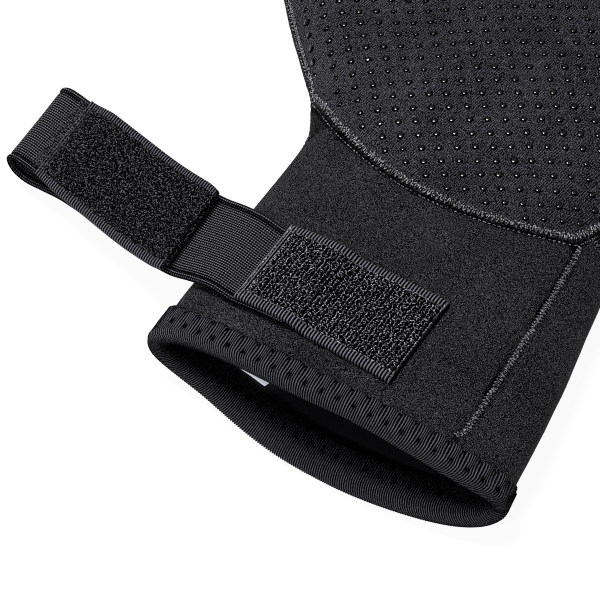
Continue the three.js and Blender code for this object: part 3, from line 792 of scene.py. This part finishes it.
_mid += np.where(_inward < 7, 0.5 * hump(_near, 0.6) * hump(_inward - 4.2, 0.7), 0)
_relief = (_rib + _puff - 0.28 * _low - 0.35 * _mid) * _fade
_relief += 0.2 * line_noise(_s, 14, 12)[None, :] * _fade
_turned = np.interp((_s[None, :] + _sway * _fade) % _run[-1], _run, _angles)
_tape = body_point(_rows[:, 1], _turned, _rows[:, 0])
_du = np.roll(_tape, -1, 1) - np.roll(_tape, 1, 1)
_dv = np.gradient(_tape, axis=0)
_out = np.cross(_dv, _du)
_out /= np.maximum(np.linalg.norm(_out, axis=2), 1e-9)[..., None]
_middle = np.array([0.2, 0, 12.0])
if ((_out[2] * (_tape[2] - _middle) * (1, 0, 1)).sum()) < 0:
    _out = -_out
_tape = _tape + _out * _relief[..., None]
_tape[..., 2] = np.maximum(_tape[..., 2], 0.02)
_faces = grid_faces(len(_rows), _cols, wrap_rows=True, wrap_cols=True)
# The weave's third value paints shade into the stitch pits and light onto the puffs between them, and paints
# the tape darker from the fold inwards, as shade inside the mouth.
_weave = np.stack([np.broadcast_to((np.arange(_cols) + 2) * RIB / PER_RIB, _relief.shape), _from_hem,
                   np.clip(1 + 0.3 * _puff / 0.2 - 0.6 * _low - 0.8 * _mid, 0, 1.3)
                   * (1 - 0.35 * np.clip((_from_hem - _from_hem[_outer + 4]) / 5.0, 0, 1))], -1)
binding = piece("binding_knit", _tape.reshape(-1, 3), _faces[:, ::-1], KNIT, "cuff_binding",
                "binding_knit", _weave.reshape(-1, 3))

# Tapes: a ribbed selvedge along each long edge and a field of hooks or loops between
HOOK_LENGTH, HOOK_WIDTH, HOOK_TURN = 43.6, 25.4, math.radians(-5.6)
SELVEDGE = 2.4
HOOK_ROWS, HOOK_STEP = 0.98, 0.56        # spacing of the hooks along the patch and across it
HOOK_RADIUS = 0.115
PATCH_THREAD, PATCH_STITCH = 0.19, 1.5   # radius of the patch's thread, length of a stitch with its gap
STRAP_UNDER_HOOK = 14.0
ELASTIC = 1.2
LIE_GAP = 0.5                  # clear gap over and under the elastic where it is sewn down
HOOK_SLOPE = 7.0               # length over which the hook patch comes down off the elastic


def hook_place(u, v):
    """Plan places on the hook patch from lengths along and across it, u from the thumb-side end. It lies
    a little narrower over the elastic than at its other end."""
    v = v * (0.97 + 0.075 * u / HOOK_LENGTH) + 0.6
    u = u - HOOK_LENGTH / 2
    return (HOOK_X + u * math.cos(HOOK_TURN) - v * math.sin(HOOK_TURN),
            HOOK_Y + u * math.sin(HOOK_TURN) + v * math.cos(HOOK_TURN))


def hook_base(u, v):
    """The patch's underside: on the sleeve, and eased up over the elastic sewn under its first part."""
    x, y = hook_place(u, v)
    t = np.clip((STRAP_UNDER_HOOK + HOOK_SLOPE - u) / HOOK_SLOPE, 0, 1)
    z = body_top(x, y) + GAP + (ELASTIC + 2 * LIE_GAP - GAP) * ease(t)
    return np.stack([x, y, z], -1)


def hook_thickness(u):
    """The patch's thickness along it: rounded at its thumb-side end, and pressed down by the line of
    stitches at the other."""
    return 1.15 - 0.25 * hump(u, 0.3) - 0.95 * hump(HOOK_LENGTH - u, 0.9)


def selvedge_relief(u, v, width, pitch):
    """Ribs across the selvedges, and the edges themselves a little rounded and uneven."""
    edge = width / 2 - np.abs(v)
    band = np.clip((SELVEDGE - edge) / 0.35, 0, 1)
    rib = 0.16 * (np.abs(np.sin(np.pi * u / pitch)) - 0.55) * band
    return rib + 0.25 * band - 0.35 * hump(edge, 0.35), band


def tape_mesh(lower, upper):
    """A thin tape from two grids of points with the same rows and columns, closed round its edges."""
    rows, cols, _ = lower.shape
    points = np.concatenate([upper.reshape(-1, 3), lower.reshape(-1, 3)])
    top = grid_faces(rows, cols)
    start = rows * cols
    ring = np.concatenate([np.arange(cols - 1), np.arange(rows - 1) * cols + cols - 1,
                           (rows - 1) * cols + np.arange(cols - 1, 0, -1), np.arange(rows - 1, 0, -1) * cols])
    after = np.roll(ring, -1)
    wall = np.stack([ring, ring + start, after + start, after], 1)
    return points, [top, top[:, ::-1] + start, wall]


def tape(name, lower, upper, turned, weave, *rest):
    """A tape's piece between two grids of points, with the same weave on both faces; turned swaps its
    faces' sides, for grids that run the other way round."""
    points, faces = tape_mesh(lower, upper)
    if turned:
        faces = [f[:, ::-1] for f in faces]
    if weave is not None:
        weave = np.tile(weave.reshape(-1, 3), (2, 1))
    return piece(name, points, faces, *rest, weave)


_u, _v = np.meshgrid(np.arange(0, HOOK_LENGTH + 0.01, 0.2), np.linspace(-0.5, 0.5, 61) * HOOK_WIDTH,
                     indexing="ij")
_under = hook_base(_u, _v)
_relief, _band = selvedge_relief(_u, _v, HOOK_WIDTH, HOOK_RIB)
_row = 0.07 * np.sin(2 * np.pi * _u / 1.16) * (1 - _band)
_upper = _under + np.array([0, 0, 1]) * (hook_thickness(_u) + _relief + _row)[..., None]
_under[..., 2] -= 0.25 * hump(HOOK_LENGTH - _u, 1.5)
_shown = np.maximum(np.exp(-(_u / 2.3) ** 4), 0.9 * hump(HOOK_LENGTH - _u, 0.5))
_weave = np.stack([_u, _v, 0.35 + 0.65 * np.maximum(_band, _shown)], -1)
hook_tape = tape("hook_tape_base", _under, _upper, True, _weave, HOOK_WEAVE, "hook_patch", "hook_tape")

# Hooks: bent filaments in rows, the rows leaning to either side in turn
_hu, _hv = np.meshgrid(np.arange(2.9, HOOK_LENGTH - 1.4, HOOK_ROWS), np.arange(-9.9, 10, HOOK_STEP),
                       indexing="ij")
_row_side = np.where(np.arange(len(_hu)) % 2, 1, -1)[:, None] * np.ones_like(_hu)
_hu = _hu + rng.normal(0, 0.15, _hu.shape)
_hv = _hv + rng.normal(0, 0.08, _hv.shape)
_base = hook_base(_hu.ravel(), _hv.ravel()) + (0, 0, 1.05)
_t = np.linspace(0, 1, 8)
_lean = HOOK_TURN + 0.9 + rng.normal(0, 0.8, len(_base))
_size = rng.uniform(0.8, 1.15, len(_base))[:, None]
_across = np.stack([np.cos(_lean), np.sin(_lean), 0 * _lean], -1) * _row_side.ravel()[:, None]
_path = (_base[:, None] + _across[:, None] * (0.36 * _size * np.sin(np.pi * 1.15 * _t - 1.35))[..., None]
         + np.array([0, 0, 1]) * (0.75 * _size * np.sin(np.pi * 0.86 * _t))[..., None])
hooks = piece("hooks", *tubes(_path, HOOK_RADIUS, 4), HOOK_FILAMENT)

# Lines of stitches that hold the hook patch: two over the elastic, one at the other end, one on each edge
_runs = []
for _u0, _v0, _u1, _v1 in ((0.8, -12.2, 0.8, 12.2), (2.2, -12.2, 2.2, 12.2), (42.9, -12.2, 42.9, 12.2),
                           (0.8, -10.4, 42.7, -10.4), (0.8, 10.4, 42.7, 10.4)):
    _steps = int(math.hypot(_u1 - _u0, _v1 - _v0) / PATCH_STITCH)
    _at = (np.arange(_steps)[:, None] + np.linspace(0.06, 0.94, 5)) / _steps
    _along = _u0 + (_u1 - _u0) * _at
    _stitch = hook_base(_along, _v0 + (_v1 - _v0) * _at)
    _stitch[..., 2] += hook_thickness(_along) + 0.05 + np.array([-0.15, 0.16, 0.22, 0.16, -0.15])
    _runs.append(tubes(_stitch, PATCH_THREAD, 4))
_points, _faces = joined(*_runs)
hook_stitches = piece("hook_patch_stitches", _points, _faces, THREAD)

# Strap: the elastic's path from under the hook patch out to the fold and back
STRAP = np.array([
    (-37, 26.4, 23.2, 0.03), (-43, 28.1, 20.9, 0.08), (-50.4, 29.8, 17.9, 0.13), (-64, 33.7, 14.9, 0.13),
    (-77.4, 38.7, 12.9, 0.12), (-87, 41.8, 11.4, 0.12), (-94, 43.8, 9.2, 0.11), (-100, 45.7, 7.1, 0.11),
    (-104, 46.9, 7.5, 0.11), (-105.6, 47.4, 10.0, 0.11), (-103.7, 46.8, 12.4, 0.11),
    (-99, 45.3, 13.5, 0.11), (-91, 42.7, 13.8, 0.12), (-77.4, 38.0, 14.9, 0.12),
    (-64, 33.0, 16.9, 0.13), (-50.4, 28.5, 19.8, 0.13)])
STRAP_WIDTH = 25.0
STRAP_SHORT = 1.2              # the elastic stops this far inside the loop tape's end
ACROSS_X = 0.09
_sewn = []
for _u0 in (STRAP_UNDER_HOOK, 7.0, 0.0):
    _px, _py = hook_place(_u0, -0.6)
    _sewn.append((_px, _py, float(body_top(np.float64(_px), np.float64(_py))) + LIE_GAP + ELASTIC / 2, 0.0))
_rows = np.vstack([_sewn, STRAP])
_chord = run_along(_rows[:, :3])
_table = np.column_stack([_chord, _rows])
_dense = np.linspace(0, _chord[-1], 2400)
_line = cubic(_table, _dense)
_arc = run_along(_line[:, :3])
STRAP_LENGTH = _arc[-1]


def strap_frame(s):
    """The strap's centre, direction across and outward normal at lengths along it."""
    at = cubic(_table, np.interp(s, _arc, _dense))
    ahead = cubic(_table, np.interp(s + 0.1, _arc, _dense))[..., :3]
    back = cubic(_table, np.interp(s - 0.1, _arc, _dense))[..., :3]
    across = unit(np.stack([np.full_like(s, ACROSS_X), np.ones_like(s), at[..., 3]], -1))
    return at[..., :3], across, unit(np.cross(across, unit(ahead - back)))


def curl(s, v):
    """How far the elastic's edges curl off flat: a slow wave along it times its share of the half width
    squared."""
    return 0.18 * np.sin(s / 9.0 + 1) * (np.abs(v) / (STRAP_WIDTH / 2)) ** 2


_s = np.arange(0, STRAP_LENGTH - STRAP_SHORT, 0.33)
_centre, _across, _normal = strap_frame(_s)
_v = np.concatenate([np.linspace(-0.5, -0.42, 9), np.linspace(-0.4, 0.4, 25), np.linspace(0.42, 0.5, 9)])
_v = _v * STRAP_WIDTH
_edge = STRAP_WIDTH / 2 - np.abs(_v)
_half = (ELASTIC / 2 - 0.1) * np.sqrt(np.clip(_edge / 0.5, 0.02, 1))
_half += 0.2 * hump(_edge - 0.85, 0.5) - 0.2 * hump(_edge - 1.8, 0.25)
_wave = curl(_s[:, None], _v[None, :])
_grid = _centre[:, None] + _across[:, None] * _v[None, :, None]
_upper = _grid + _normal[:, None] * (_half[None, :] + _wave)[..., None]
_lower = _grid - _normal[:, None] * (_half[None, :] - _wave)[..., None]
# The elastic is painted darker on its edge walls and in the groove 1.8 mm in from each edge, as shade there.
_shown = np.clip((_edge - 0.1) / 0.3, 0.4, 1) * (1 - 0.8 * hump(_edge - 1.8, 0.3))
_weave = np.stack(np.broadcast_arrays(_v, _s[:, None], _shown), -1)
strap = tape("elastic_strap", _lower, _upper, False, _weave, WEAVE, "strap", "elastic_webbing")

# Loop tape on the strap's returning run, nap up
LOOP_WIDTH = 26.4
NAP_CURLS, NAP_ROW, NAP_RADIUS = 5400, 57, 0.075    # how many, how many in a row, the yarn's radius
LOOP_EASE = 9.0                # length over which the tape rises to its full thickness
LOOP_START_X, LOOP_END_X = -95.5, -50.4
_dense_s = np.linspace(0, STRAP_LENGTH, 3000)
_c, _, _ = strap_frame(_dense_s)
_back = np.argmin(_c[:, 0])
LOOP_FROM = np.interp(LOOP_START_X, _c[_back:, 0], _dense_s[_back:])
LOOP_TO = np.interp(LOOP_END_X, _c[_back:, 0], _dense_s[_back:]) - 0.1


def loop_place(s, v, height):
    """Points over the strap's outer face at lengths along it, across it and above it."""
    centre, across, normal = strap_frame(s)
    normal = normal * np.sign(normal[..., 2:])
    lift = ELASTIC / 2 + 0.12 + height + curl(s, v)
    return centre + across * v[..., None] + normal * lift[..., None], normal


_u, _v = np.meshgrid(np.arange(LOOP_FROM, LOOP_TO, 0.25), np.linspace(-0.5, 0.5, 55) * LOOP_WIDTH,
                     indexing="ij")
_relief, _band = selvedge_relief(_u, _v, LOOP_WIDTH, LOOP_RIB)
_ends = np.minimum(_u - _u.min(), _u.max() - _u)
_nap = 0.15 * (1 - _band) * np.clip(_ends / 1.5, 0, 1)
_nap = _nap * (1 + 0.5 * soft_noise(np.stack([_u, _v, 0 * _u], -1).reshape(-1, 3), 1.1, 21).reshape(_u.shape))
_start = ease(np.clip((_u - _u.min()) / LOOP_EASE, 0.04, 1))
_wide = np.minimum(_start, 1 - np.clip(1 - (_u.max() - _u) / 5.0, 0, 1) ** 2)
_v = _v * (STRAP_WIDTH / LOOP_WIDTH + (1 - STRAP_WIDTH / LOOP_WIDTH) * _wide)
_upper, _ = loop_place(_u, _v, 0.2 + 0.8 * _start + _relief * _start + _nap)
_lower, _ = loop_place(_u, _v, 0 * _u)
_bare = hump(_u - _u.min(), 2.2)
_weave = np.stack([_u, _v, 0.15 + 0.85 * np.maximum(_band, _bare)], -1)
loop_tape = tape("loop_tape_base", _lower, _upper, True, _weave, LOOP_WEAVE, "loop_patch", "loop_nap")

# The nap: curls in uneven rows across the tape, set lower over its two ends
_cu = (np.arange(NAP_CURLS) // NAP_ROW + rng.uniform(-0.6, 1.6, NAP_CURLS)) / (NAP_CURLS / NAP_ROW)
_cu = LOOP_FROM - 2.4 + (LOOP_TO - LOOP_FROM + 2.7) * _cu
_cv = (np.arange(NAP_CURLS) % NAP_ROW + rng.uniform(-0.4, 1.4, NAP_CURLS)) / NAP_ROW - 0.5
_cv = _cv * (LOOP_WIDTH - 2 * SELVEDGE + 0.7)
_share = np.clip((_cu - LOOP_FROM) / LOOP_EASE, 0, 1)
_drop = np.clip((_cu - LOOP_TO + 1.2) / 1.2, 0, 1.2) ** 2
_cu = np.minimum(_cu, LOOP_TO - 0.05)
_base, _normal = loop_place(_cu, _cv, 0.15 + ease(_share) - 0.9 * _drop)
_t = np.linspace(0, 1, 5)
_heading = rng.uniform(0, 2 * np.pi, NAP_CURLS)
_size = rng.uniform(0.2, 0.38, NAP_CURLS)[:, None]
_across = np.stack([np.cos(_heading), np.sin(_heading), 0 * _heading], -1)
_beside = np.cross(_normal, _across)
_bow = rng.normal(0, 0.5, NAP_CURLS)[:, None]
_path = (_base[:, None] + _across[:, None] * (_size * np.sin(np.pi * 1.3 * (_t - 0.5)))[..., None]
         + _beside[:, None] * (_size * _bow * np.sin(np.pi * _t))[..., None]
         + _normal[:, None] * (1.1 * _size * np.sin(np.pi * _t))[..., None])
loop_nap = piece("loop_nap", *tubes(_path, NAP_RADIUS, 3), NAP_YARN)


# Seams: overlock threads lie over each joint as a zigzag with a line of short stitches on both sides
def resampled(path, spacing, closed=False):
    """The path as even steps of about that length."""
    if closed:
        path = np.vstack([path, path[:1]])
    run = run_along(path)
    steps = max(int(round(run[-1] / spacing)), 2)
    at = np.arange(steps if closed else steps + 1) * run[-1] / steps
    return np.stack([np.interp(at, run, path[:, k]) for k in range(3)], 1)


def smoothed(path, passes):
    """A closed path with each point moved, some times over, to half itself and a quarter of each
    neighbour."""
    for _ in range(passes):
        path = (np.roll(path, 1, 0) + 2 * path + np.roll(path, -1, 0)) / 4
    return path


def above_table(points):
    """Thread places with those under the sleeve pressed up into its cloth by the table."""
    return np.column_stack([points[:, :2], np.maximum(points[:, 2], 0.1)])


SEAM_THREAD, SEAM_STITCH = 0.21, 0.17    # radius of the zigzag thread and of the stitches beside it
ZIG = 6                        # steps in one zigzag of thread, and in one stitch with its gap
ARCH = np.array([-0.05, 0.16, 0.22, 0.16, -0.05])    # a stitch's heights over the cloth


def seam_threads(path, zig_from, zig_to, lines, closed=False, pitch=1.25):
    """Threads along a seam's path on the plain form: a zigzag between two offsets to the side of it,
    and a chain of short stitches at each of the lines' offsets."""
    path = resampled(path, pitch / ZIG, closed)
    along = (np.roll(path, -1, 0) - np.roll(path, 1, 0)) if closed else np.gradient(path, axis=0)
    beside = np.cross(unit(gradient(path)), unit(along))
    step = np.arange(len(path))
    wobble = 1 + 0.12 * line_noise(step * 0.2, 1.5, 31)
    share = 0.5 + 0.5 * np.cos(2 * np.pi * step / ZIG)
    zig, face = settle(path + beside * ((zig_from + (zig_to - zig_from) * share) * wobble)[:, None])
    height = 0.15 + 0.22 * np.abs(np.sin(2 * np.pi * step / ZIG)) + 0.3 * (wobble - 1)
    thick = SEAM_THREAD * (1 + 0.35 * line_noise(step * 0.3, 0.8, 32))
    zig = above_table(zig + face * height[:, None])
    meshes = [tubes(zig[None], thick[None], 4, closed)]
    for offset in lines:
        spots = np.arange(0, len(path) - ZIG, ZIG)
        pick = spots[:, None] + np.arange(len(ARCH))[None, :]
        laid, face = settle((path + beside * offset)[pick].reshape(-1, 3))
        arch = np.tile(ARCH, len(spots))
        laid = above_table(laid + face * arch[:, None]).reshape(len(spots), len(ARCH), 3)
        meshes.append(tubes(laid, SEAM_STITCH * np.array([0.6, 1, 1, 1, 0.6])[None, :], 4))
    return joined(*meshes)


_edges = np.sort(np.concatenate([palm_faces[:, [0, 1]], palm_faces[:, [1, 2]], palm_faces[:, [2, 0]]]), 1)
_edges, _uses = np.unique(_edges, axis=0, return_counts=True)
_edges = _edges[_uses == 1]
_after = {}
for _a, _b in _edges.tolist():
    _after.setdefault(_a, []).append(_b)
    _after.setdefault(_b, []).append(_a)
_chain, _seen = [int(_edges[0, 0])], {int(_edges[0, 0])}
while True:
    _next = [n for n in _after[_chain[-1]] if n not in _seen]
    if not _next:
        break
    _chain.append(_next[0])
    _seen.add(_next[0])
BORDER = smoothed(resampled(palm_points[_chain], 0.9, True), 4)
_area = np.sum(BORDER[:, 0] * np.roll(BORDER[:, 1], -1) - np.roll(BORDER[:, 0], -1) * BORDER[:, 1])
if _area < 0:
    BORDER = BORDER[::-1]
_y0 = np.linspace(3.4, 66.8, 60)
_bend = 1.6 * np.clip((7 - _y0) / 4, 0, 1) ** 2
_side = on_palm_side(cuff_seam_x(_y0) - _bend, _y0)[0]
_a0 = np.linspace(math.radians(52), math.radians(-196), 260)
_wrist = body_point(np.full(260, WRIST_Y), _a0, 0)
_wrist = body_point(wrist_seam(_wrist[:, 0], _wrist[:, 2]), _a0, 0)
_wrist = _wrist[palm_side(_wrist) < -0.5]
piece("seam_thread_palm", *seam_threads(BORDER, -0.7, 1.2, (-1.9, 0.7), True, 1.2), THREAD)
piece("seam_thread_cuff", *seam_threads(_side, -0.8, 0.8, (), pitch=0.95), THREAD_CUFF)
piece("seam_thread_wrist", *seam_threads(_wrist, -0.7, 0.7, (-1.4, 1.4)), THREAD_DULL)

# Care label: a blank satin slip on the tape's inner hem, its corners lifting a little
LABEL_X, LABEL_Y, LABEL_LENGTH, LABEL_WIDTH, LABEL_TURN = -26.5, 12.5, 19.0, 11.0, math.radians(-14)
_u, _v = np.meshgrid(np.linspace(-0.5, 0.5, 40) * LABEL_LENGTH, np.linspace(-0.5, 0.5, 24) * LABEL_WIDTH,
                     indexing="ij")
_lx = LABEL_X + _u * math.cos(LABEL_TURN) - _v * math.sin(LABEL_TURN)
_ly = LABEL_Y + _u * math.sin(LABEL_TURN) + _v * math.cos(LABEL_TURN)
_inset = WALL + 2 * GAP + TAPE
_bc, _bh, _bl, _bt, _, _bb = columns(BODY, _ly)
_lz = (_bl + _bt) / 2 - ((_bt - _bl) / 2 - _inset) * (
    1 - np.clip(np.abs((_lx - _bc) / (_bh - _inset)), 0, 1) ** _bb) ** (1 / _bb)
_lz = np.maximum(_lz, _inset) + 0.1 + 0.12 * np.sin(_u * 0.9) * np.cos(_v * 0.7)
_lz = _lz + 0.9 * np.clip((_u / LABEL_LENGTH + 0.5) ** 2 * (0.5 - _v / LABEL_WIDTH) ** 2, 0, 1)
_lower = np.stack([_lx, _ly, _lz], -1)
label = tape("satin_label", _lower, _lower + (0, 0, 0.3), True, None, SATIN, "care_label", "label_satin")


# Floor, light and camera
def area_light(name, place, target, size, power):
    """A rectangular lamp at a place, turned to face the target."""
    lamp = bpy.data.lights.new(name, "AREA")
    lamp.shape = "RECTANGLE"
    lamp.size, lamp.size_y = size
    lamp.energy = power
    obj = bpy.data.objects.new(name, lamp)
    bpy.context.scene.collection.objects.link(obj)
    obj.location = Vector(place)
    obj.rotation_euler = (Vector(target) - Vector(place)).to_track_quat("-Z", "Y").to_euler()


floor_mesh = bpy.data.meshes.new("floor")
_far = 30
floor_mesh.from_pydata([(-_far, -_far, 0), (_far, -_far, 0), (_far, _far, 0), (-_far, _far, 0)], [],
                       [(0, 1, 2, 3)])
floor = bpy.data.objects.new("floor", floor_mesh)
bpy.context.scene.collection.objects.link(floor)
floor.location.z = -0.0002
pale, _tree = material("pale studio floor, lit from under")
close(_tree, {"Base Color": linear("6a6a6a"), "Roughness": 1.0, "Specular IOR Level": 0.0,
              "Emission Color": (1, 1, 1, 1), "Emission Strength": 0.94})
floor_mesh.materials.append(pale)

ROOM_LIGHT = 0.1               # faint white light from all round
world = bpy.data.worlds.new("studio")
bpy.context.scene.world = world
world.use_nodes = True
world.node_tree.nodes["Background"].inputs[0].default_value = (1, 1, 1, 1)
world.node_tree.nodes["Background"].inputs[1].default_value = ROOM_LIGHT

TARGET = (np.array([-21.2, 27.9, 12.0]) + SHIFT) * MM
azimuth, elevation, distance = math.radians(27.4), math.radians(53.0), 0.7
FOCAL_PIXELS, IMAGE_PIXELS, SENSOR = 2938, 600, 36
BACK = np.array([math.sin(azimuth) * math.cos(elevation), -math.cos(azimuth) * math.cos(elevation),
                 math.sin(elevation)])
area_light("key", TARGET + np.array([-0.28, 0.0, 1.17]), TARGET, (0.46, 0.46), 11.9)
area_light("fill", TARGET + np.array([-0.35, -0.9, 0.6]), TARGET, (0.2, 0.2), 2.5)

camera = bpy.data.objects.new("camera", bpy.data.cameras.new("camera"))
bpy.context.scene.collection.objects.link(camera)
camera.location = TARGET + BACK * distance
camera.rotation_euler = Vector(-BACK).to_track_quat("-Z", "Y").to_euler()
camera.data.lens = FOCAL_PIXELS / IMAGE_PIXELS * SENSOR
camera.data.sensor_width = SENSOR
camera.data.clip_start, camera.data.clip_end = 0.01, 100
bpy.context.scene.camera = camera
bpy.context.scene.view_settings.view_transform = "Standard"
bpy.context.scene.cycles.use_denoising = False   # a denoiser would wipe the cloth's fine grain away
bpy.context.scene.cycles.filter_width = 1.0
